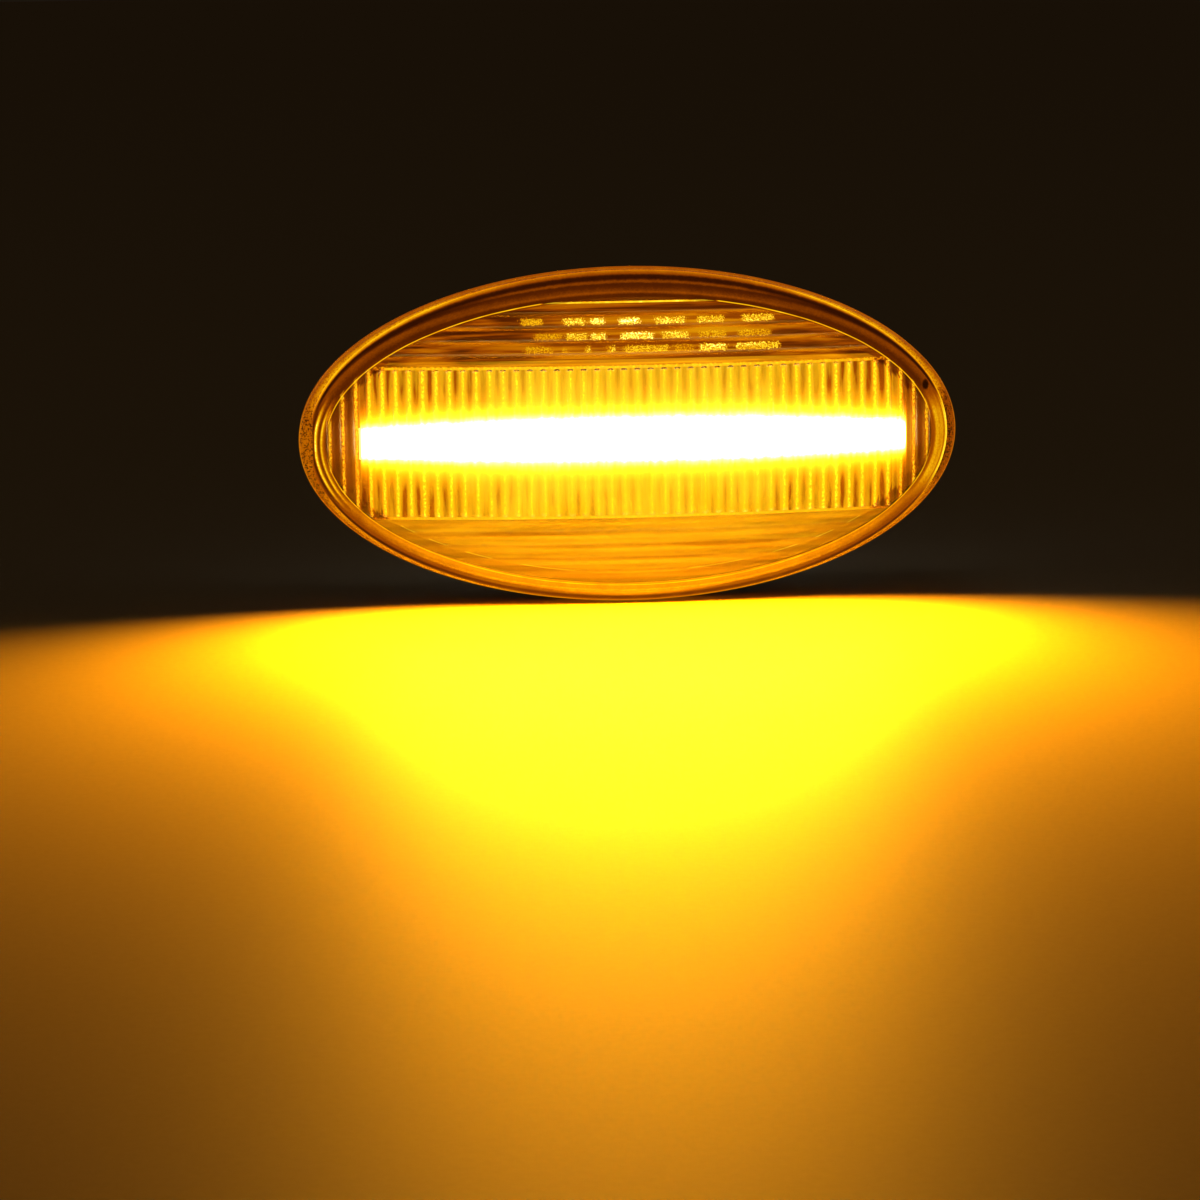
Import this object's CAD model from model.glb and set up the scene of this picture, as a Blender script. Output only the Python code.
"""Looks of the oval side marker turn signal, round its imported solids. Lengths are in metres."""

import functools
import math

import bmesh
import bpy
import numpy as np
from mathutils import Matrix, Vector


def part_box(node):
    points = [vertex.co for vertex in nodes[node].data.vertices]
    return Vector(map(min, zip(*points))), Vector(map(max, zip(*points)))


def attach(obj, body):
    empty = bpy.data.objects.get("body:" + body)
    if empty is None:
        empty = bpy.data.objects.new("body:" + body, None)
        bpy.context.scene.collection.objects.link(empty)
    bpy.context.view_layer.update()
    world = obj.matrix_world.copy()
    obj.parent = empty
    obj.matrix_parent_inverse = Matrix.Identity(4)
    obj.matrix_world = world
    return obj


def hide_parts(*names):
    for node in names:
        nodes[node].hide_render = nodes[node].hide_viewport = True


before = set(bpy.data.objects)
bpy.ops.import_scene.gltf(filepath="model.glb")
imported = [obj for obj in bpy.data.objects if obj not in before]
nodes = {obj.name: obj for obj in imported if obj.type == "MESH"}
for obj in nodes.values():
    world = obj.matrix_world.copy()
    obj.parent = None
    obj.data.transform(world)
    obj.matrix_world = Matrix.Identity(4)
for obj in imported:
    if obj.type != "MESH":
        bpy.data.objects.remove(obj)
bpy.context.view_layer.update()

MM = 0.001

# Places read from the frame
lens_low, lens_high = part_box("lens")
HALF_LONG = (lens_high.x - lens_low.x) / 2
HALF_TALL = (lens_high.z - lens_low.z) / 2
FRONT = lens_low.y
SEAT = lens_high.y
FLOOR_HEIGHT = lens_low.z
FLOOR_HALF = 3.0

# The lens's form; LEAN is how far its shoulder draws in for each step forward
FOOT_FRONT = SEAT - 2.4 * MM
FLANGE_FRONT = SEAT - 1.2 * MM
FLANGE_INSET = 1.2 * MM
FLANGE_CUT = -47.7 * MM
FOOT_END = 1.45 * MM
FOOT_SIDE = 0.3 * MM
FOOT_EDGE = 0.2 * MM
WALL_FRONT = FOOT_FRONT - 1.3 * MM
WALL_CUT = FOOT_END + 0.7 * MM - HALF_LONG
LEAN = 0.46
SHOULDER_ROUND = 0.9 * MM
WALL_ROUND = 0.35 * MM
CLEAR_INSET = 4.0 * MM
CLEAR_LONG = HALF_LONG - CLEAR_INSET
CLEAR_TALL = HALF_TALL - CLEAR_INSET
RISE_LONG = 6.35 * MM
RISE_SHORT = 3.05 * MM
DOME_LONG = (HALF_LONG**2 + RISE_LONG**2) / (2 * RISE_LONG)
DOME_SHORT = (HALF_TALL**2 + RISE_SHORT**2) / (2 * RISE_SHORT)
BAND_WALL = 2.6 * MM
EDGE_WALL = 2.0 * MM
BAND_HALF = 11.4 * MM
RIB_PITCH = 2.0 * MM
RIBS = 2 * int(CLEAR_LONG / RIB_PITCH)
RIB_RADIUS = 0.7 * MM
RIB_PROUD = 0.36 * MM
RIB_TIP = 11.2 * MM
ROWS = 5
ROW_PROUD = 0.34 * MM
ROW_PITCH = (CLEAR_TALL - BAND_HALF) / ROWS

# How finely each stretch of the lens is drawn
LENS_AROUND = 360
DOME_RINGS = 44
DOME_START = 0.004
EDGE_RINGS = 9
SHOULDER_RINGS = 10
CORNER_RINGS = 5
ROW_STEPS = 8
TIP_STEPS = 7
BAND_STEPS = 6
END_STEPS = 24
END_TURN = 0.3
# Rounds after which the line where dome and shoulder meet holds still
SETTLING = 40
# Points across one flute and its gap, in pitches from its crown
ACROSS_RIB = (-0.5, -0.32, -0.306, -0.27, -0.2, -0.1, 0.0, 0.1, 0.2, 0.27, 0.306, 0.32)
# Numbers that the lens's points carry, past those of its outside
CAVITY_ZONE = 7.0
FLUTES_ZONE = 8.0
# Points this close become one, and edges this short go
WELD = 2e-6
SPECK = 1e-7
# Edges sharper than these stay hard, in degrees
LENS_SMOOTH = 32.0
PIECE_SMOOTH = 40.0

# The light bar, the reflector's rim and the housing
BAR_MIDDLE = 0.6 * MM
BAR_HEIGHT = -0.15 * MM
BAR_HALF = 41.3 * MM
RIM_INSET = 5.5 * MM
TUB_INSET = 7.0 * MM
TUB_REAR = 12.0 * MM
TUB_FLOOR = TUB_REAR - 1.6 * MM
BEAD_RINGS = 4
BEAD_AROUND = 120
BEAD_SUNK = -0.2 * MM
BEAD_HALF_LONG = 39.5 * MM
BEAD_HALF_TALL = 15.0 * MM
BEAD_WIDTH = 1.5 * MM
BEAD_HEIGHT = 0.5 * MM
PIN_RADIUS = 2.4 * MM
PIN_WIDTH = 0.7 * MM
PIN_HEIGHT = 0.3 * MM
PIN_MARKS = ((-31, 0), (31, 0), (-18, 7.5), (18, 7.5), (-19, -7.5), (19, -7.5))

# Camera: angles in degrees, the width seen at the lamp in metres, lens and sensor in mm, sizes in pixels
VIEW_ELEVATION = 8.0
VIEW_AZIMUTH = -3.5
VIEW_ROLL = 0.75
VIEW_WIDTH = 0.1832
LENS_LENGTH = 120.0
SENSOR = 36.0
PHOTO_SIDE = 1200
# Where the middle of the lamp's seat falls in the photo
PHOTO_CENTRE = (627.5, 433.0)


class Value:
    """A number or colour inside a material: arithmetic on it adds the nodes that work it out."""

    def __init__(self, finish, socket):
        self.finish = finish
        self.socket = socket

    def calc(self, operation, *others):
        """A Math node of this operation on this value and the others."""
        inputs = dict(enumerate((self, *others)))
        return self.finish.add("ShaderNodeMath", {"operation": operation}, inputs)

    def __add__(self, other):
        return self.calc("ADD", other)

    __radd__ = __add__

    def __mul__(self, other):
        return self.calc("MULTIPLY", other)

    __rmul__ = __mul__

    def __sub__(self, other):
        return self.calc("SUBTRACT", other)

    def __rsub__(self, other):
        return self.calc("MULTIPLY", -1.0).calc("ADD", other)

    def __truediv__(self, other):
        return self.calc("DIVIDE", other)

    def __rtruediv__(self, other):
        return self.calc("POWER", -1.0).calc("MULTIPLY", other)

    def __pow__(self, other):
        return self.calc("POWER", other)

    def __neg__(self):
        return self.calc("MULTIPLY", -1.0)

    def __abs__(self):
        return self.calc("ABSOLUTE")

    def least(self, other):
        return self.calc("MINIMUM", other)

    def most(self, other):
        return self.calc("MAXIMUM", other)

    def step(self, start, end):
        """0 before start and 1 after end, with a smooth rise between."""
        settings = {"interpolation_type": "SMOOTHSTEP"}
        inputs = {"Value": self, "From Min": start, "From Max": end}
        return self.finish.add("ShaderNodeMapRange", settings, inputs)

    def near(self, middle, full, none):
        """1 as far as full from a middle value and 0 from none on."""
        return 1.0 - abs(self - middle).step(full, none)


class Finish:
    """A material in the making: one Principled shader, and what feeds it."""

    def __init__(self, name, **constants):
        self.material = bpy.data.materials.new(name)
        self.material.use_nodes = True
        self.tree = self.material.node_tree
        self.shader = self.tree.nodes["Principled BSDF"]
        for key, value in constants.items():
            self.shader.inputs[key.replace("_", " ")].default_value = value

    def add(self, kind, settings=None, inputs=None, output=0):
        """Adds a node of a kind, sets it, feeds its sockets, and gives one of its outputs."""
        node = self.tree.nodes.new(kind)
        for key, value in (settings or {}).items():
            setattr(node, key, value)
        for key, value in (inputs or {}).items():
            self.feed(node.inputs[key], value)
        return Value(self, node.outputs[output])

    def feed(self, socket, value):
        """Links a value to a socket, or sets it."""
        if isinstance(value, Value):
            self.tree.links.new(value.socket, socket)
        else:
            socket.default_value = value

    def set(self, **inputs):
        """Feeds the shader's own sockets."""
        for key, value in inputs.items():
            self.feed(self.shader.inputs[key.replace("_", " ")], value)

    def place(self):
        """The point on the object, in metres, as its three parts."""
        point = self.add("ShaderNodeTexCoord", output="Object")
        parts = self.add("ShaderNodeSeparateXYZ", {}, {0: point}).socket.node
        return [Value(self, output) for output in parts.outputs]

    def noise(self, scale, detail=2.0, stretch=(1, 1, 1)):
        """Soft random values from 0 to 1 over the object, scale to the metre."""
        point = self.add("ShaderNodeTexCoord", output="Object")
        mapped = self.add("ShaderNodeMapping", {}, {"Vector": point, "Scale": stretch})
        inputs = {"Vector": mapped, "Scale": scale, "Detail": detail}
        return self.add("ShaderNodeTexNoise", {}, inputs, "Fac")

    def attribute(self, name):
        """A value that every point of the mesh carries."""
        return self.add("ShaderNodeAttribute", {"attribute_name": name}, output="Fac")

    def ramp(self, value, stops):
        """A colour that runs through stops, each a place from 0 to 1 and a colour."""
        ramp = self.add("ShaderNodeValToRGB", {}, {0: value})
        elements = ramp.socket.node.color_ramp.elements
        elements.remove(elements[1])
        (elements[0].position, first), *rest = stops
        elements[0].color = (*first, 1.0)
        for at, colour in rest:
            elements.new(at).color = (*colour, 1.0)
        return ramp

    def mix_value(self, share, first, second):
        """A number between two, by a share from 0 to 1."""
        inputs = {"Factor": share, "A": first, "B": second}
        return self.add("ShaderNodeMix", {"data_type": "FLOAT"}, inputs, "Result")

    def mix(self, share, first, second):
        """A colour between two, by a share from 0 to 1."""
        inputs = {"Factor": share, "A": first, "B": second}
        return self.add("ShaderNodeMix", {"data_type": "RGBA"}, inputs, "Result")

    def bump(self, height, distance, strength=1.0):
        """Feeds a height, in metres times distance, to the shader's normal."""
        inputs = {"Height": height, "Distance": distance, "Strength": strength}
        self.set(Normal=self.add("ShaderNodeBump", {}, inputs, "Normal"))


def rgb(red, green, blue):
    """A colour given as a screen shows it, from 0 to 255, as linear light."""
    parts = [c / 255 for c in (red, green, blue)]
    return tuple(c / 12.92 if c <= 0.04045 else ((c + 0.055) / 1.055) ** 2.4 for c in parts) + (1.0,)


def lighter(colour, by):
    """A colour with each of its parts raised."""
    return rgb(*(min(c + by, 255) for c in colour))


def grid_faces(rows, columns, closed):
    """The four-cornered faces of a grid of points; closed joins its last column to its first."""
    r, c = np.meshgrid(np.arange(rows - 1), np.arange(columns if closed else columns - 1), indexing="ij")
    low, high, right = r * columns, (r + 1) * columns, (c + 1) % columns
    return np.stack([low + c, low + right, high + right, high + c], -1).reshape(-1, 4)


def link(thing):
    """Puts an object in the scene."""
    bpy.context.scene.collection.objects.link(thing)
    return thing


def finished(name, shape, smooth):
    """A piece from a bmesh: faces turned outwards, and smooth but for edges sharper than an angle."""
    bmesh.ops.recalc_face_normals(shape, faces=shape.faces)
    mesh = bpy.data.meshes.new(name)
    shape.to_mesh(mesh)
    shape.free()
    mesh.shade_smooth()
    mesh.set_sharp_from_angle(angle=math.radians(smooth))
    return link(bpy.data.objects.new(name, mesh))


def mesh_piece(name, points, faces):
    """A piece from an array of points and an array of faces."""
    mesh = bpy.data.meshes.new(name)
    mesh.from_pydata(points.tolist(), [], faces.tolist())
    shape = bmesh.new()
    shape.from_mesh(mesh)
    bpy.data.meshes.remove(mesh)
    return finished(name, shape, PIECE_SMOOTH)


def sag(distance, radius):
    """How far an arc falls back from its top.

    Its radius less the root of (radius squared less distance squared).
    """
    return radius - np.sqrt(radius**2 - distance**2)


def dome_depth(x, z, front, tall_radius):
    """Depth of a front turned about the upright axis: its arc over z, carried round the axis at DOME_LONG."""
    across = DOME_LONG - sag(z, tall_radius)
    return front + DOME_LONG - np.sqrt(across**2 - x**2)


def rib_height(x, z):
    """How far the middle band's flutes stand up: round rods a pitch apart, with round tips.

    The root of the rod's radius squared less the squares of the ways off its line and over its tip, less
    what is sunk.
    """
    sink = RIB_RADIUS - RIB_PROUD
    off = (x / RIB_PITCH) % 1.0 - 0.5
    over_tip = np.maximum(np.abs(z) - (RIB_TIP - RIB_RADIUS), 0)
    inside = RIB_RADIUS**2 - (off * RIB_PITCH) ** 2 - over_tip**2
    return np.maximum(np.sqrt(np.maximum(inside, 0)) - sink, 0)


def row_line(z):
    """Depth, on the middle line, of the lying rows: equal arcs bulging inwards on a slanted base."""
    start_y = FRONT + BAND_WALL
    end_y = FRONT + EDGE_WALL + float(sag(CLEAR_TALL, DOME_SHORT))
    share = np.clip((np.abs(z) - BAND_HALF) / (CLEAR_TALL - BAND_HALF), 0, 1)
    chord = math.hypot(CLEAR_TALL - BAND_HALF, end_y - start_y) / ROWS
    radius = (chord**2 / 4 + ROW_PROUD**2) / (2 * ROW_PROUD)
    along = ((share * ROWS) % 1.0 - 0.5) * chord
    bulge = np.sqrt(radius**2 - along**2) - (radius - ROW_PROUD)
    return start_y + share * (end_y - start_y) + np.where(share < 1, bulge, 0)


def inner_depth(x, z):
    """Depth of the lens's inner face: the band's and rows' line turned about the upright axis, and flutes.

    Turned, a point of the line lies at DOME_LONG less the root of its own radius squared less x squared.
    """
    on_band = np.abs(z) <= BAND_HALF
    line = np.where(on_band, FRONT + BAND_WALL, row_line(z))
    around = DOME_LONG - (line - FRONT)
    depth = FRONT + DOME_LONG - np.sqrt(around**2 - x**2)
    return depth + np.where(on_band, rib_height(x, z), 0)


def oval_half(x, inset):
    """Half height at x of the lamp's oval drawn inwards: its most times the root of (1 less share squared)."""
    share = np.clip(x / (HALF_LONG - inset), -1, 1)
    return (HALF_TALL - inset) * np.sqrt(1 - share**2)


def lens_inside():
    """The fluted face: lines along each flute and row, cut to the oval, with each point at its depth."""
    across = np.array(ACROSS_RIB) * RIB_PITCH
    centres = (np.arange(RIBS) - (RIBS - 1) / 2) * RIB_PITCH
    lines = (centres[:, None] + across[None, :]).ravel()
    ends = CLEAR_LONG * np.cos(np.linspace(0, END_TURN, END_STEPS))
    columns = np.unique(np.round(np.concatenate([lines[np.abs(lines) < CLEAR_LONG], ends, -ends]), 7))
    tips = RIB_TIP - RIB_RADIUS * (1 - np.sin(np.linspace(0, math.pi / 2, TIP_STEPS)))
    up = BAND_HALF + np.linspace(0, 1, ROWS * ROW_STEPS + 1) * (CLEAR_TALL - BAND_HALF)
    upper = np.concatenate([np.linspace(0, RIB_TIP - RIB_RADIUS, BAND_STEPS), tips[1:], up])
    rows = np.concatenate([-upper[:0:-1], upper])
    x, z = np.meshgrid(columns, rows, indexing="ij")
    limit = oval_half(x, CLEAR_INSET)
    z = np.clip(z, -limit, limit)
    return np.stack([x, inner_depth(x, z), z], -1)


def shoulder_ring(turn, depth):
    """The lens's wall and shoulder at a depth: an oval that narrows by LEAN times the way before the wall."""
    drawn = LEAN * np.maximum(WALL_FRONT - depth, 0)
    x = (HALF_LONG - FOOT_END - drawn) * np.cos(turn)
    z = (HALF_TALL - FOOT_SIDE - drawn) * np.sin(turn)
    return np.stack([np.maximum(x, WALL_CUT), depth, z], -1)


def round_off(before, corner, after, steps):
    """Rings across a corner, each with its share s of the way.

    Before, corner and after are mixed by (1 - s) squared, 2s(1 - s) and s squared.
    """
    for s in np.linspace(0, 1, steps):
        yield s, (1 - s) ** 2 * before + 2 * s * (1 - s) * corner + s**2 * after


def plain_ring(turn, inset, depth):
    """The lamp's oval drawn inwards, at one depth: its half sizes times the turn's cosine and sine."""
    x, z = (HALF_LONG - inset) * np.cos(turn), (HALF_TALL - inset) * np.sin(turn)
    return np.stack([x, np.full_like(x, depth), z], -1)


def lens_outside():
    """Rings from the dome's middle out over its rounded edge, down the shoulder and wall, and over the foot.

    The dome meets the shoulder where the depth that the dome has on the shoulder's own oval is the oval's
    depth. Each ring comes with its zone: 0 to 1 on the dome, then to 2 on the shoulder, 3 on the wall, 4 on
    the foot's face, 5 on its edge and from 6 on its rear.
    """
    t = np.linspace(0, 2 * math.pi, LENS_AROUND, endpoint=False)
    depth = np.full(LENS_AROUND, FRONT + RISE_SHORT)
    for _ in range(SETTLING):
        edge = shoulder_ring(t, depth)
        depth = dome_depth(edge[:, 0], edge[:, 2], FRONT, DOME_SHORT)
    rings = []

    def on_dome(share):
        x, z = edge[:, 0] * share, edge[:, 2] * share
        return np.stack([x, dome_depth(x, z, FRONT, DOME_SHORT), z], -1)

    rim_share = 1 - SHOULDER_ROUND / HALF_TALL
    for share in np.sin(np.linspace(DOME_START, math.pi / 2, DOME_RINGS)):
        rings.append((on_dome(rim_share * share), share))
    after = shoulder_ring(t, depth + SHOULDER_ROUND)
    for s, level in round_off(on_dome(rim_share), edge, after, EDGE_RINGS):
        rings.append((level, 1 + 0.15 * s))
    before = shoulder_ring(t, np.full(LENS_AROUND, WALL_FRONT - WALL_ROUND))
    for s in np.linspace(0, 1, SHOULDER_RINGS)[1:]:
        rings.append((shoulder_ring(t, after[:, 1] * (1 - s) + before[:, 1] * s), 1.15 + 0.75 * s))
    corner = shoulder_ring(t, np.full(LENS_AROUND, WALL_FRONT))
    after = shoulder_ring(t, np.full(LENS_AROUND, WALL_FRONT + WALL_ROUND))
    for s, level in round_off(before, corner, after, CORNER_RINGS):
        rings.append((level, 1.9 + 0.2 * s))
    rings.append((shoulder_ring(t, np.full(LENS_AROUND, FOOT_FRONT)), 3.0))
    rings.append((plain_ring(t, FOOT_EDGE, FOOT_FRONT), 3.9))
    for turn in np.linspace(0, math.pi / 2, CORNER_RINGS)[1:]:
        inset, drop = FOOT_EDGE * (1 - math.sin(turn)), FOOT_EDGE * (1 - math.cos(turn))
        rings.append((plain_ring(t, inset, FOOT_FRONT + drop), 3.9 + 0.2 * turn))
    rings.append((plain_ring(t, 0, SEAT), 5.0))
    for y, zone in ((SEAT, 6.0), (FLANGE_FRONT, 6.5)):
        level = plain_ring(t, FLANGE_INSET, y)
        level[:, 0] = np.maximum(level[:, 0], FLANGE_CUT)
        rings.append((level, zone))
    return np.array([r[0] for r in rings]), np.array([r[1] for r in rings])


def build_lens():
    """The whole cover: outside rings and fluted inside, joined by the cavity's wall and the rebate's floor.

    Every point keeps its zone: the outside's as given there, then the cavity wall's foot and the flutes.
    """
    outside, zones = lens_outside()
    inside = lens_inside()
    rings, around = outside.shape[:2]
    outer, inner = outside.reshape(-1, 3), inside.reshape(-1, 3)
    quads = [*grid_faces(rings, around, True), *(len(outer) + grid_faces(*inside.shape[:2], False))]
    mesh = bpy.data.meshes.new("lens_grids")
    mesh.from_pydata(np.concatenate([outer, inner]).tolist(), [], [*quads, range(around)])
    values = np.concatenate([np.repeat(zones, around), np.full(len(inner), FLUTES_ZONE)])
    mesh.attributes.new("zone", "FLOAT", "POINT").data.foreach_set("value", values)
    shape = bmesh.new()
    shape.from_mesh(mesh)
    bpy.data.meshes.remove(mesh)
    zone = shape.verts.layers.float["zone"]
    bmesh.ops.remove_doubles(shape, verts=[v for v in shape.verts if v[zone] == FLUTES_ZONE], dist=WELD)
    bmesh.ops.dissolve_degenerate(shape, edges=shape.edges, dist=SPECK)
    borders = [e for e in shape.edges if e.is_boundary]
    rebate = [e for e in borders if e.verts[0][zone] < CAVITY_ZONE]
    flutes = [e for e in borders if e.verts[0][zone] > CAVITY_ZONE]
    grown = bmesh.ops.extrude_edge_only(shape, edges=flutes)["geom"]
    for vert in (v for v in grown if isinstance(v, bmesh.types.BMVert)):
        vert.co.y = FLANGE_FRONT
        vert[zone] = CAVITY_ZONE
    wall = [e for e in grown if isinstance(e, bmesh.types.BMEdge) and e.is_boundary]
    bmesh.ops.bridge_loops(shape, edges=wall + rebate)
    return finished("lens_fluted", shape, LENS_SMOOTH)


def bead(half_long, half_tall, x, z, width, height):
    """An oval bead round a point of the housing's rear: rings from just below the face up to its flat top."""
    turn = np.linspace(0, 2 * math.pi, BEAD_AROUND, endpoint=False)
    rings = []
    for out, up in ((0.5, BEAD_SUNK), (0.3, height), (-0.3, height), (-0.5, BEAD_SUNK)):
        px = x + (half_long + out * width) * np.cos(turn)
        pz = z + (half_tall + out * width) * np.sin(turn)
        rings.append(np.stack([px, np.full_like(px, TUB_REAR + up), pz], -1))
    return np.concatenate(rings)


def build_marks():
    """The moulding's marks on the housing's rear: an oval stiffening bead and six ejector pins' rims."""
    beads = [bead(BEAD_HALF_LONG, BEAD_HALF_TALL, 0, 0, BEAD_WIDTH, BEAD_HEIGHT)]
    for x, z in PIN_MARKS:
        beads.append(bead(PIN_RADIUS, PIN_RADIUS, x * MM, z * MM, PIN_WIDTH, PIN_HEIGHT))
    each = BEAD_RINGS * BEAD_AROUND
    one = grid_faces(BEAD_RINGS + 1, BEAD_AROUND, True) % each
    faces = np.concatenate([one + each * i for i in range(len(beads))])
    return mesh_piece("housing_marks", np.concatenate(beads), faces)


def oval_share(x, z, inset):
    """How far out a point lies, 1 on the lamp's oval drawn inwards: the root of its shares squared, summed."""
    return ((x / (HALF_LONG - inset)) ** 2.0 + (z / (HALF_TALL - inset)) ** 2.0) ** 0.5


AMBER = (
    (0.00, (0.0, 0.0, 0.0)),
    (0.10, (0.03, 0.004, 0.0)),
    (0.20, (0.10, 0.015, 0.0)),
    (0.35, (0.34, 0.065, 0.0)),
    (0.50, (0.60, 0.18, 0.0)),
    (0.60, (0.80, 0.34, 0.002)),
    (0.70, (0.98, 0.54, 0.005)),
    (0.80, (1.35, 0.90, 0.03)),
    (0.90, (2.4, 1.9, 0.3)),
    (1.00, (4.0, 3.7, 2.0)),
)
AMBER_FULL = 4.0


def amber(f, level):
    """The lamp's light by its level from 0 to 1, deep brown to white-hot, for a strength of AMBER_FULL."""
    stops = [(at, tuple(c / AMBER_FULL for c in colour)) for at, colour in AMBER]
    return f.ramp(level, stops)


def level_line(f, value, stops):
    """A level that runs through (place, level) stops."""
    return f.ramp(value, [(at, (level,) * 3) for at, level in stops])


def spread_line(f, value, stops):
    """A level that runs through (value, level) stops, whatever the values' range."""
    first, last = stops[0][0], stops[-1][0]
    span = last - first
    return level_line(f, (value - first) / span, [((at - first) / span, level) for at, level in stops])


def inset_mm(x, z):
    """How far in from the lamp's outline a point lies, in mm; exact on the edge of the clear window.

    1 less its shares squared, over how fast these grow outwards, and the edge's own inset.
    """
    along, up = (x / CLEAR_LONG) ** 2.0, (z / CLEAR_TALL) ** 2.0
    slope = along * (2 * MM / CLEAR_LONG) + up * (2 * MM / CLEAR_TALL)
    return (1.0 - along - up) / slope + CLEAR_INSET / MM


def in_band(z):
    """1 on the middle band as far as its flutes reach."""
    return 1.0 - abs(z).step(RIB_TIP - 0.25 * MM, RIB_TIP)


def in_rows(z):
    """1 on the lying rows above and below the band."""
    return abs(z).step(BAND_HALF, BAND_HALF + 0.1 * MM)


def above_middle(z):
    """1 on the lamp's upper half."""
    return z.step(0.0, 1.0 * MM)


def rib_wave(x):
    """1 in the gaps between the flutes, -1 on their crowns."""
    return (x * (2 * math.pi / RIB_PITCH)).calc("COSINE")


def off_bar_end(x, start, end):
    """1 beyond the light bar's ends, with a rise between two distances from its middle, in mm."""
    return abs(x - BAR_MIDDLE).step(start * MM, end * MM)


def off_chord(x):
    """0 along the straight piece of the window's upper edge and 1 beside it."""
    return abs(x).step(12.5 * MM, 13.5 * MM)


# Bright spots of the board in three rows, each at its height in mm: middle and half length in mm, and level
BLOCKS = (
    (13.9, ((-13.6, 2.0, 0.52), (-8.0, 2.0, 0.54), (-4.4, 2.1, 0.71), (2.4, 3.2, 0.60), (8.0, 1.4, 0.50),
            (12.4, 1.9, 0.70), (19.2, 3.2, 0.68))),
    (15.8, ((-12.2, 2.0, 0.54), (-7.9, 1.5, 0.66), (-4.7, 1.0, 0.71), (1.1, 2.3, 0.71), (6.8, 1.9, 0.64),
            (12.4, 2.0, 0.54), (18.8, 2.4, 0.54))),
    (18.0, ((-14.6, 1.5, 0.60), (-8.3, 1.5, 0.66), (-4.9, 1.0, 0.70), (0.0, 1.4, 0.71), (6.0, 2.2, 0.66),
            (12.1, 1.9, 0.64), (19.2, 2.3, 0.66))),
)
BLOCK_SOFT = 0.35
BLOCK_REACH = 25.0


def caught_light(f, x, z):
    """The board's bright spots as the three pillow rows above the band each show them once more."""
    place = x / MM + (f.noise(5200, 1.0, (1.0, 1.0, 1.4)) - 0.5) * 2.2
    height = z / MM + (f.noise(4600, 1.0) - 0.5) * 1.0
    rows = []
    for middle_z, row in BLOCKS:
        stops = [(-BLOCK_REACH, 0.0)]
        for middle, half, level in row:
            soft = half + BLOCK_SOFT
            edges = ((-soft, 0.0), (-half, level), (half, level), (soft, 0.0))
            stops += [(middle + off, value) for off, value in edges]
        rows.append(spread_line(f, place, [*stops, (BLOCK_REACH, 0.0)]) * height.near(middle_z, 0.35, 0.7))
    return functools.reduce(Value.most, rows)


# The bar's glare: its half height midway in mm, and its levels by mm from there
GLARE_HALF = 3.7
GLARE = (
    (-2.0, 1.0), (-0.7, 0.98), (-0.1, 0.90), (0.4, 0.80), (1.1, 0.64), (1.9, 0.46), (3.0, 0.28),
    (5.2, 0.14), (7.7, 0.0),
)


def bar_bloom(f, x, z):
    """The glare round the lit bar, on the dome before it: tall midway and drawn in at the ends."""
    out = x / (40.0 * MM)
    along = out ** 2.0
    ragged = 1.1 * (f.noise(1300, 3.0, (1.0, 1.0, 0.25)) - 0.5)
    height = z / MM - 0.7 + 0.56 * along + 0.2 * out
    glare = spread_line(f, abs(height) - GLARE_HALF + 1.05 * along + ragged, GLARE)
    return glare * (1.0 - off_bar_end(x, 41.1, 41.5))


# Levels in the rest of the lens by zone: above, on the upper slants, below, at the lower corners and the ends
RIM_TOP = (
    (1.0, 0.18), (1.03, 0.19), (1.045, 0.26), (1.065, 0.32), (1.09, 0.25), (1.15, 0.20), (1.25, 0.17),
    (1.34, 0.17), (1.38, 0.24), (1.42, 0.28), (1.48, 0.27), (1.53, 0.18), (1.58, 0.11), (1.72, 0.11),
    (1.77, 0.2), (1.82, 0.31), (1.9, 0.39), (2.0, 0.44), (2.4, 0.45), (3.0, 0.40), (3.9, 0.34), (4.0, 0.44),
    (4.1, 0.36), (5.1, 0.34), (5.14, 0.0),
)
RIM_SLANT = (
    (1.0, 0.20), (1.03, 0.18), (1.07, 0.24), (1.11, 0.28), (1.2, 0.24), (1.3, 0.16), (1.4, 0.10),
    (1.66, 0.10), (1.76, 0.2), (1.82, 0.34), (1.9, 0.55), (2.0, 0.62), (2.3, 0.65), (3.0, 0.64),
    (3.4, 0.58), (3.7, 0.44), (3.9, 0.36), (4.0, 0.44), (4.1, 0.36), (5.1, 0.30), (5.14, 0.0),
)
RIM_BOTTOM = (
    (1.0, 0.49), (1.03, 0.47), (1.055, 0.45), (1.075, 0.57), (1.095, 0.59), (1.12, 0.42), (1.17, 0.40),
    (1.3, 0.46), (1.43, 0.45), (1.5, 0.35), (1.58, 0.28), (1.72, 0.28), (1.82, 0.36), (1.92, 0.52),
    (2.0, 0.59), (4.1, 0.59), (5.1, 0.5), (5.14, 0.0),
)
RIM_CORNER = (
    (1.0, 0.50), (1.02, 0.56), (1.04, 0.43), (1.1, 0.38), (1.25, 0.35), (1.4, 0.28), (1.5, 0.2),
    (1.72, 0.2), (1.82, 0.32), (1.92, 0.52), (2.0, 0.64), (3.0, 0.62), (3.5, 0.56), (3.8, 0.3), (4.0, 0.5),
    (4.1, 0.4), (5.1, 0.4), (5.14, 0.0),
)
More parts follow.
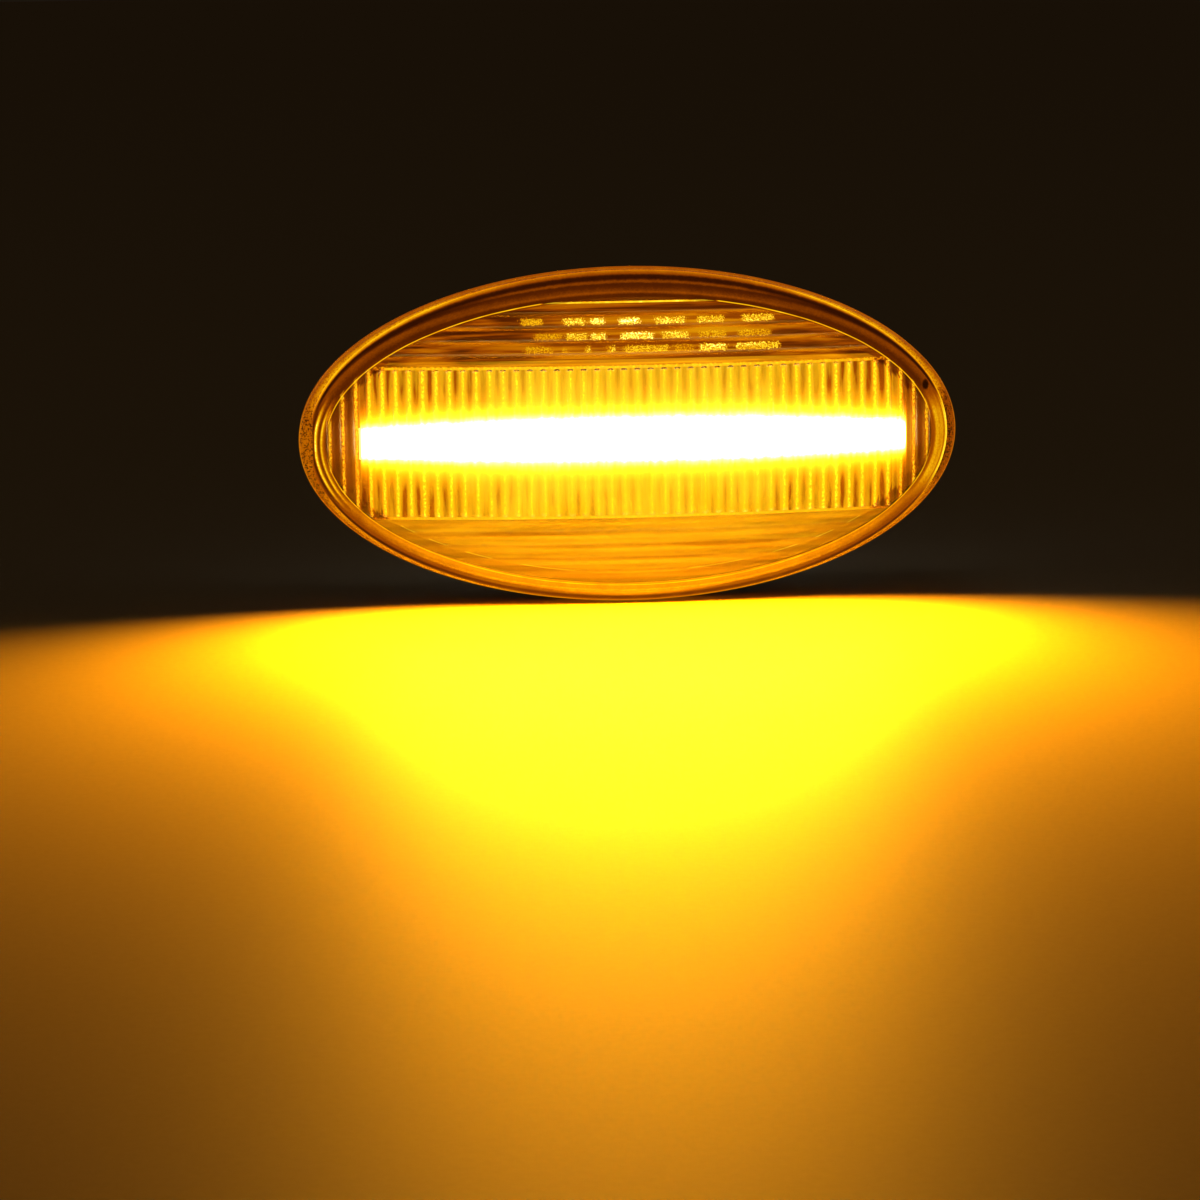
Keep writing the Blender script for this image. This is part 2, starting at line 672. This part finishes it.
RIM_LEFT = (
    (1.0, 0.20), (1.006, 0.16), (1.015, 0.34), (1.022, 0.76), (1.034, 0.76), (1.042, 0.4), (1.05, 0.16),
    (1.06, 0.2), (1.072, 0.5), (1.085, 0.82), (1.098, 0.82), (1.108, 0.5), (1.12, 0.16), (1.2, 0.18),
    (1.6, 0.3), (2.1, 0.34), (3.0, 0.36), (3.12, 0.42), (3.9, 0.44), (4.0, 0.5), (4.1, 0.4), (5.1, 0.3),
    (5.14, 0.0),
)
RIM_RIGHT = (
    (1.0, 0.30), (1.01, 0.26), (1.02, 0.40), (1.03, 0.60), (1.045, 0.66), (1.056, 0.56), (1.09, 0.56),
    (1.105, 0.62), (1.12, 0.46), (1.16, 0.44), (1.22, 0.6), (1.35, 0.74), (2.9, 0.74), (3.0, 0.30),
    (3.2, 0.27), (3.6, 0.33), (3.9, 0.3), (4.0, 0.46), (4.1, 0.4), (5.1, 0.3), (5.14, 0.0),
)
# Levels on the dome's border by mm in from the lamp's outline, and on a lower row by its share from the band
DOME_ABOVE = ((2.5, 0.20), (3.0, 0.17), (3.5, 0.15), (4.0, 0.17))
DOME_BELOW = ((2.2, 0.50), (3.2, 0.50), (3.7, 0.45), (4.0, 0.45))
DOME_RIGHT = ((2.2, 0.5), (3.2, 0.3), (3.8, 0.28), (4.0, 0.3))
DOME_LEFT = 0.24
DOME_CORNER = 0.42
LOW_ROW = (
    (0.0, 0.50), (0.1, 0.44), (0.2, 0.49), (0.3, 0.52), (0.6, 0.53), (0.75, 0.58), (0.92, 0.62),
    (1.0, 0.51),
)
# The small dark hole's middle and half size
HOLE = (44.9 * MM, 7.3 * MM)
HOLE_HALF = (0.5 * MM, 0.7 * MM)
# Where the lower rows' light ends, in mm from the lamp's outline
ROWS_END = 5.8


def rim_light(f, x, z):
    """The light gathered in the lens's shoulder, foot and edges, by zone.

    It is drawn apart for the upper side, the lower side and the two ends, and mixed by height and length.
    A fine line follows the window's edge, and one small dark hole shows at the right end.
    """
    zone = f.attribute("zone")
    end = 1.0 - abs(z + 1.5 * MM).step(4.0 * MM, 9.5 * MM)
    to_slant = abs(x).step(14.0 * MM, 33.0 * MM)
    to_corner = abs(x).step(20.0 * MM, 38.0 * MM)
    right = x.step(-1.0 * MM, 1.0 * MM)
    low = (-z).step(-9.0 * MM, 17.0 * MM)

    # The shoulder and the foot, with a ragged border on the shoulder
    loose = zone.step(1.0, 1.2) * (1.0 - zone.step(1.75, 1.85)) * (1.0 - end)
    zone = zone + (f.noise(1500, 2.0, (1.0, 0.3, 1.0)) - 0.5) * 0.09 * loose
    above = f.mix_value(to_slant, spread_line(f, zone, RIM_TOP), spread_line(f, zone, RIM_SLANT))
    below = f.mix_value(to_corner, spread_line(f, zone, RIM_BOTTOM), spread_line(f, zone, RIM_CORNER)) * 0.89
    beside = f.mix_value(right, spread_line(f, zone, RIM_LEFT), spread_line(f, zone, RIM_RIGHT))
    outer = f.mix_value(end, f.mix_value(low, above, below), beside)

    # The dome's border
    inset = inset_mm(x, z)
    below = f.mix_value(to_corner, spread_line(f, inset, DOME_BELOW), DOME_CORNER)
    beside = f.mix_value(right, DOME_LEFT, spread_line(f, inset, DOME_RIGHT))
    dome = f.mix_value(end, f.mix_value(low, spread_line(f, inset, DOME_ABOVE), below), beside)
    level = f.mix_value(zone.step(0.99, 1.0), dome * (1.0 - inset.step(3.95, 4.1)), outer)

    # The hole, the uneven light in the moulding and the foot's stipple
    off_hole = ((x - HOLE[0]) / HOLE_HALF[0]) ** 2.0 + ((z - HOLE[1]) / HOLE_HALF[1]) ** 2.0
    hole = off_hole.step(0.3, 1.6) * 0.8 + 0.2
    grain = f.noise(4200, 2.0)
    streak = f.noise(420, 3.0, (1.0, 0.4, 0.4))
    foot = zone.step(2.95, 3.05) * (1.0 - zone.step(3.9, 4.0))
    stipple = 1.0 - foot * (0.3 + 0.5 * end) * grain.step(0.46, 0.64)
    lit = level * hole * (0.62 + 0.46 * grain + 0.30 * streak) * stipple

    # The line along the window's edge
    line_at = 3.62 + 0.4 * (x / (46.0 * MM)) ** 2.0 + 0.12 * (f.noise(160, 2.0) - 0.5)
    line = inset.near(line_at, 0.05, 0.13) * (0.5 + 0.36 * streak) * (1.0 - 0.1 * low)
    line = line * (1.0 - (1.0 - off_chord(x)) * (1.0 - low)) * (1.0 - zone.step(0.9995, 1.0))
    return lit.most(line).most((1.0 - zone.step(0.9, 0.98)) * bar_bloom(f, x, z))


def flute_light(f, x, z):
    """The light caught by the lens's inside.

    It shows on the flutes' crowns, in the lying rows, as dots between band and rows, as the board's bright
    spots, and along the straight piece of the window's upper edge.
    """
    upper = above_middle(z)
    inset = inset_mm(x, z)
    glitter = f.noise(5200, 1.0)

    # The flutes' crowns
    thread = f.noise(2600, 2.0, (1.0, 1.0, 0.08))
    towards_end = abs(x).step(12.0 * MM, 38.0 * MM)
    crown = (0.5 - 0.5 * rib_wave(x)) ** 4.0
    ribs = in_band(z) * crown * (0.08 + 0.35 * towards_end + 0.66 * thread)
    ribs = (ribs * (0.45 + 1.05 * glitter.step(0.36, 0.64)) * (0.9 + 0.1 * upper)).least(0.75)

    # The lying rows: fine lines above, dimmer at the rows' borders, and LOW_ROW below
    row = ((abs(z) - BAND_HALF) / ROW_PITCH).calc("FRACT")
    lines = f.noise(700, 4.0, (0.05, 1.0, 1.8))
    within = row.near(0.5, 0.36, 0.46)
    middle = x.near(2.0 * MM, 8.0 * MM, 26.0 * MM) * (1.0 - z.step(18.6 * MM, 19.8 * MM))
    ground = 0.16 + 0.04 * x.step(8.0 * MM, 24.0 * MM) + 0.13 * middle
    top_rows = upper * (ground + 0.28 * lines.step(0.34, 0.66) * (0.6 + 0.4 * within))
    ended = (inset - ROWS_END).step(-0.06, 0.06)
    glint = inset.near(ROWS_END, 0.06, 0.16) * row.step(0.45, 0.5) * 0.78
    low_row = f.mix_value(ended, 0.54, spread_line(f, row, LOW_ROW)).most(glint)
    low_rows = (1.0 - upper) * (low_row + 0.24 * (lines - 0.52))
    rows = in_rows(z) * top_rows.most(low_rows)

    # Dots, spots and the straight edge
    speck = f.noise(3000, 1.0).step(0.42, 0.62)
    dots = (abs(z) / MM).near(11.36, 0.16, 0.36) * (0.14 + 0.44 * speck) * (0.75 + 0.25 * upper)
    spots = caught_light(f, x, z) * (0.8 + 0.4 * glitter.step(0.4, 0.6)) * (0.8 + 0.5 * lines)
    fine = f.noise(900, 3.0, (1.0, 1.0, 0.12))
    chord = (z / MM).near(20.75, 0.10, 0.2) * (1.0 - off_chord(x)) * (0.56 + 0.4 * fine)
    return ribs.most(rows).most(dots).most(spots).most(chord)


# What passes through the cover: plain, between flutes, through the lying rows, and at its edge
CLEAR_TINT = (1.0, 0.94, 0.72, 1)
GAP_TINT = (0.14, 0.025, 0.001, 1)
ROW_TINT = (0.03, 0.013, 0.001, 1)
EDGE_TINT = (0.026, 0.011, 0.001, 1)
BLACK = (0, 0, 0, 1)


def clear_cover():
    """Clear moulded polycarbonate, lit from within; between the flutes it passes less of the light."""
    f = Finish("clear_cover", IOR=1.585, Transmission_Weight=1.0, Emission_Strength=AMBER_FULL)
    x, _, z = f.place()
    zone = f.attribute("zone")
    on_flutes = zone.step(7.98, 8.0)
    on_rows = on_flutes * in_rows(z)
    level = rim_light(f, x, z) * (1.0 - on_flutes) + on_flutes * flute_light(f, x, z)
    out = abs(x).step(10.0 * MM, 44.0 * MM)
    off_bar = abs(z - BAR_HEIGHT).step(2.4 * MM, 8.5 * MM).most(0.5 * off_bar_end(x, 41.8, 42.6))
    streaks = f.noise(900, 3.0, (1.0, 1.0, 0.12))
    lying = f.noise(600, 3.0, (0.05, 1.0, 1.6))
    gap = on_flutes * in_band(z) * (0.5 + 0.5 * rib_wave(x)) ** 1.2
    gap = gap * (0.5 + 0.6 * out) * off_bar * (0.35 + 1.25 * streaks.step(0.28, 0.72))
    turned = on_rows * (0.92 + 0.6 * (lying - 0.5))
    edge = (1.0 - inset_mm(x, z).step(3.9, 4.05)).most(zone.step(0.98, 1.0)) * (1.0 - on_flutes) * 0.85
    clear = f.mix(gap, CLEAR_TINT, GAP_TINT)
    clear = f.mix(turned, clear, ROW_TINT)
    clear = f.mix(edge, clear, EDGE_TINT)
    met_twice = on_rows * (1.0 - above_middle(z)) * 0.64
    glow = f.mix(met_twice, amber(f, level), BLACK)
    foot = zone.step(2.95, 3.05) * (1.0 - zone.step(5.0, 5.1))
    f.set(Base_Color=clear, Emission_Color=glow, Roughness=0.01 + foot * 0.2)
    f.bump(f.noise(2600, 3.0) * foot, 0.00012, 0.6)
    return f.material


def lit_bar():
    """The frosted bar at full light, a little more amber at its ends."""
    f = Finish("lit_bar", Base_Color=rgb(120, 90, 40), Roughness=0.5, Emission_Strength=3.2)
    x, _, _ = f.place()
    end = (abs(x - BAR_MIDDLE) / BAR_HALF).step(0.75, 1.0)
    f.set(Emission_Color=f.mix(end, (1.0, 0.60, 0.14, 1), (1.0, 0.56, 0.12, 1)))
    return f.material


# Levels in the trough, by shares of 20 mm up and down from the bar and of 50 mm along it
TROUGH = (
    (0.0, 1.0), (0.12, 0.97), (0.16, 0.86), (0.22, 0.80), (0.3, 0.75), (0.42, 0.73), (0.55, 0.71),
    (0.9, 0.62),
)
TROUGH_ENDS = (
    (0.0, 1.0), (0.36, 1.0), (0.6, 0.93), (0.78, 0.84), (0.81, 0.62), (0.84, 0.42), (0.88, 0.3),
    (0.92, 0.24),
)


def lit_reflector():
    """Metallised trough: white-hot along the bar, amber further out, and dark brown in its rim."""
    f = Finish("lit_reflector", Base_Color=rgb(38, 24, 5), Metallic=0.5, Roughness=0.4,
               Emission_Strength=AMBER_FULL)
    x, _, z = f.place()
    trough = level_line(f, abs(z - BAR_HEIGHT) / (20.0 * MM), TROUGH)
    ends = level_line(f, abs(x - BAR_MIDDLE) / (50.0 * MM), TROUGH_ENDS)
    level = trough * ends * (0.92 + 0.16 * f.noise(160, 2.0))
    in_rim = oval_share(x, z, RIM_INSET).step(0.985, 1.0)
    rim_level = f.mix_value(z.step(11.0 * MM, 13.5 * MM), 0.26, 0.04)
    f.set(Emission_Color=amber(f, f.mix_value(in_rim, level, rim_level)))
    f.bump(f.noise(900, 3.0), 0.00003, 0.35)
    return f.material


def case_black():
    """Black moulded plastic with a fine spark-eroded grain; the lamp's own light browns its hollow."""
    f = Finish("case_black", Specular_IOR_Level=0.45, Emission_Strength=AMBER_FULL)
    x, y, z = f.place()
    within = 1.0 - oval_share(x, z, TUB_INSET).step(1.0, 1.01)
    lit = within * (1.0 - y.step(TUB_FLOOR - 0.1 * MM, TUB_FLOOR + 0.1 * MM)) * z.step(-30.0 * MM, 20.0 * MM)
    f.set(Emission_Color=amber(f, lit * (0.16 + 0.12 * f.noise(260, 2.0))))
    speckle = f.noise(1500, 4.0)
    shade = 0.5 * f.noise(60, 2.0) + 0.5 * speckle
    f.set(Base_Color=f.mix(shade, rgb(17, 17, 18), rgb(46, 46, 47)), Roughness=0.34 + 0.3 * speckle)
    f.bump(speckle, 0.00006, 0.6)
    return f.material


def soft_black():
    """Foam rubber: matt, with tiny open cells."""
    f = Finish("soft_black", Roughness=0.9, Specular_IOR_Level=0.3)
    cells = f.noise(2600, 2.0)
    f.set(Base_Color=f.mix(cells, rgb(20, 20, 21), rgb(42, 42, 43)))
    f.bump(cells, 0.00010, 0.7)
    return f.material


def spring_steel(name="spring_steel", tone=(176, 177, 178)):
    """Rolled steel strip: fine lines along its length."""
    f = Finish(name, Metallic=1.0)
    lines = f.noise(2200, 3.0, (0.1, 0.1, 3.0))
    f.set(Base_Color=f.mix(lines, rgb(*tone), lighter(tone, 40)), Roughness=0.22 + 0.2 * lines)
    f.bump(lines, 0.00001, 0.4)
    return f.material


def lit_part(name, tone, glow, strength):
    """A small part on the board in the amber light of the lamp: it is seen only in that light."""
    f = Finish(name, Roughness=0.5, Emission_Strength=strength)
    speckle = f.noise(1400, 2.0)
    f.set(Base_Color=f.mix(speckle, rgb(*tone), lighter(tone, 18)))
    f.set(Emission_Color=f.mix(speckle, rgb(*glow), lighter(glow, 30)))
    return f.material


def named(*starts):
    """The names of the solids that start with one of these words."""
    return [name for name in nodes if name.startswith(starts)]


def dress_solids(marks):
    """Every solid that shows its own shape gets its finish."""
    black = case_black()
    marks.data.materials.append(black)
    for material, starts in (
        (black, ("housing",)),
        (soft_black(), ("gasket",)),
        (spring_steel(), ("spring_clip",)),
        (spring_steel("plated_screw", (150, 150, 148)), ("board_screw",)),
        (spring_steel("tinned_blade", (190, 186, 176)), ("terminal_blade",)),
        (lit_reflector(), ("reflector",)),
        (lit_bar(), ("light_bar",)),
        (lit_part("board_mask", (205, 196, 160), (120, 62, 2), 0.3), ("circuit_board",)),
        (lit_part("led_case", (240, 220, 150), (255, 214, 60), 3.0), ("led_",)),
        (lit_part("bright_chip", (200, 180, 120), (255, 205, 40), 1.0), ("resistor",)),
        (lit_part("dark_chip", (40, 36, 30), (150, 84, 4), 0.6), ("transistor",)),
        (lit_part("rear_chip", (24, 24, 25), (10, 6, 1), 0.1), ("sequencer_chip", "diode")),
        (spring_steel("bare_can", (180, 180, 180)), ("capacitor",)),
    ):
        for name in named(*starts):
            nodes[name].data.materials.clear()
            nodes[name].data.materials.append(material)


def add_floor():
    """A wide pale floor under the lamp's lowest edge."""
    corners = np.array([(-1, -1), (1, -1), (1, 1), (-1, 1)]) * FLOOR_HALF
    points = np.column_stack([corners, np.full(4, FLOOR_HEIGHT)])
    floor = mesh_piece("floor", points, np.array([[0, 1, 2, 3]]))
    f = Finish("pale_floor", Roughness=0.58, Specular_IOR_Level=0.5)
    grain = f.noise(900, 4.0)
    f.set(Base_Color=f.mix(grain, rgb(224, 206, 170), rgb(234, 217, 182)))
    f.bump(grain, 0.00006, 0.3)
    floor.data.materials.append(f.material)
    return floor


def add_light(name, place, aim, watts, colour, size, only=None):
    """An area lamp at a place, turned towards a point; only is a list of what it lights."""
    data = bpy.data.lights.new(name, "AREA")
    data.energy = watts
    data.color = colour
    data.size = size
    lamp = link(bpy.data.objects.new(name, data))
    way = Vector(aim) - Vector(place)
    lamp.matrix_world = Matrix.Translation(place) @ way.to_track_quat("-Z", "Y").to_matrix().to_4x4()
    if only:
        lit = bpy.data.collections.new(name + "_lights")
        for thing in only:
            lit.objects.link(thing)
        lamp.light_linking.receiver_collection = lit
    return lamp


def add_lights(floor, marks):
    """Soft studio light from above, all round and behind, and the lamp's own light on the floor before it."""
    world = bpy.data.worlds.new("studio")
    bpy.context.scene.world = world
    world.use_nodes = True
    background = world.node_tree.nodes["Background"].inputs
    background["Color"].default_value = (1.0, 0.66, 0.36, 1)
    background["Strength"].default_value = 0.011
    add_light("overhead", place=(0.1, -0.2, 0.9), aim=(0, 0, 0), watts=0.045, colour=(1.0, 0.7, 0.4),
              size=0.9)
    glow = add_light("lamp_glow", place=(0, FRONT - 1.0 * MM, 0), aim=(0, -1, -0.66), watts=0.55,
                     colour=(1.0, 0.35, 0.001), size=0.078, only=[floor])
    glow.data.shape = "ELLIPSE"
    glow.data.size_y = 0.018
    glow.data.spread = math.radians(158)
    glow.visible_camera = False
    glow.visible_transmission = False
    rear = [nodes[name] for name in named("housing", "gasket", "spring_clip", "terminal_blade")]
    for x in (-0.40, 0.40):
        add_light("soft_box", place=(x, 0.55, 0.3), aim=(0, 0.01, 0), watts=7.0, colour=(1.0, 0.98, 0.96),
                  size=0.35, only=[*rear, marks])


def add_camera():
    """The photograph's view: turned a little to the left, from a little above, and rolled by its slant."""
    data = bpy.data.cameras.new("camera")
    data.lens = LENS_LENGTH
    data.sensor_width = SENSOR
    data.clip_end = 20
    camera = link(bpy.data.objects.new("camera", data))
    distance = VIEW_WIDTH * LENS_LENGTH / SENSOR
    azimuth, elevation = math.radians(VIEW_AZIMUTH), math.radians(VIEW_ELEVATION)
    back = Vector((
        math.sin(azimuth) * math.cos(elevation),
        -math.cos(azimuth) * math.cos(elevation),
        math.sin(elevation),
    ))
    middle = Vector((0, SEAT, 0))
    turned = back.to_track_quat("Z", "Y").to_matrix().to_4x4()
    roll = Matrix.Rotation(math.radians(VIEW_ROLL), 4, "Z")
    half = PHOTO_SIDE / 2
    step = SENSOR / LENS_LENGTH / PHOTO_SIDE
    right = (PHOTO_CENTRE[0] - half) * step
    down = (PHOTO_CENTRE[1] - half) * step
    swing = Matrix.Rotation(math.atan(right), 4, "Y") @ Matrix.Rotation(math.atan(down), 4, "X")
    camera.matrix_world = Matrix.Translation(middle + back * distance) @ turned @ roll.inverted() @ swing
    bpy.context.scene.camera = camera
    bpy.context.scene.view_settings.view_transform = "Standard"


lens = build_lens()
lens.data.materials.append(clear_cover())
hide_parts("lens")
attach(lens, "root")
lens.visible_shadow = False
lens.visible_diffuse = False
marks = build_marks()
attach(marks, "root")
dress_solids(marks)
add_lights(add_floor(), marks)
add_camera()
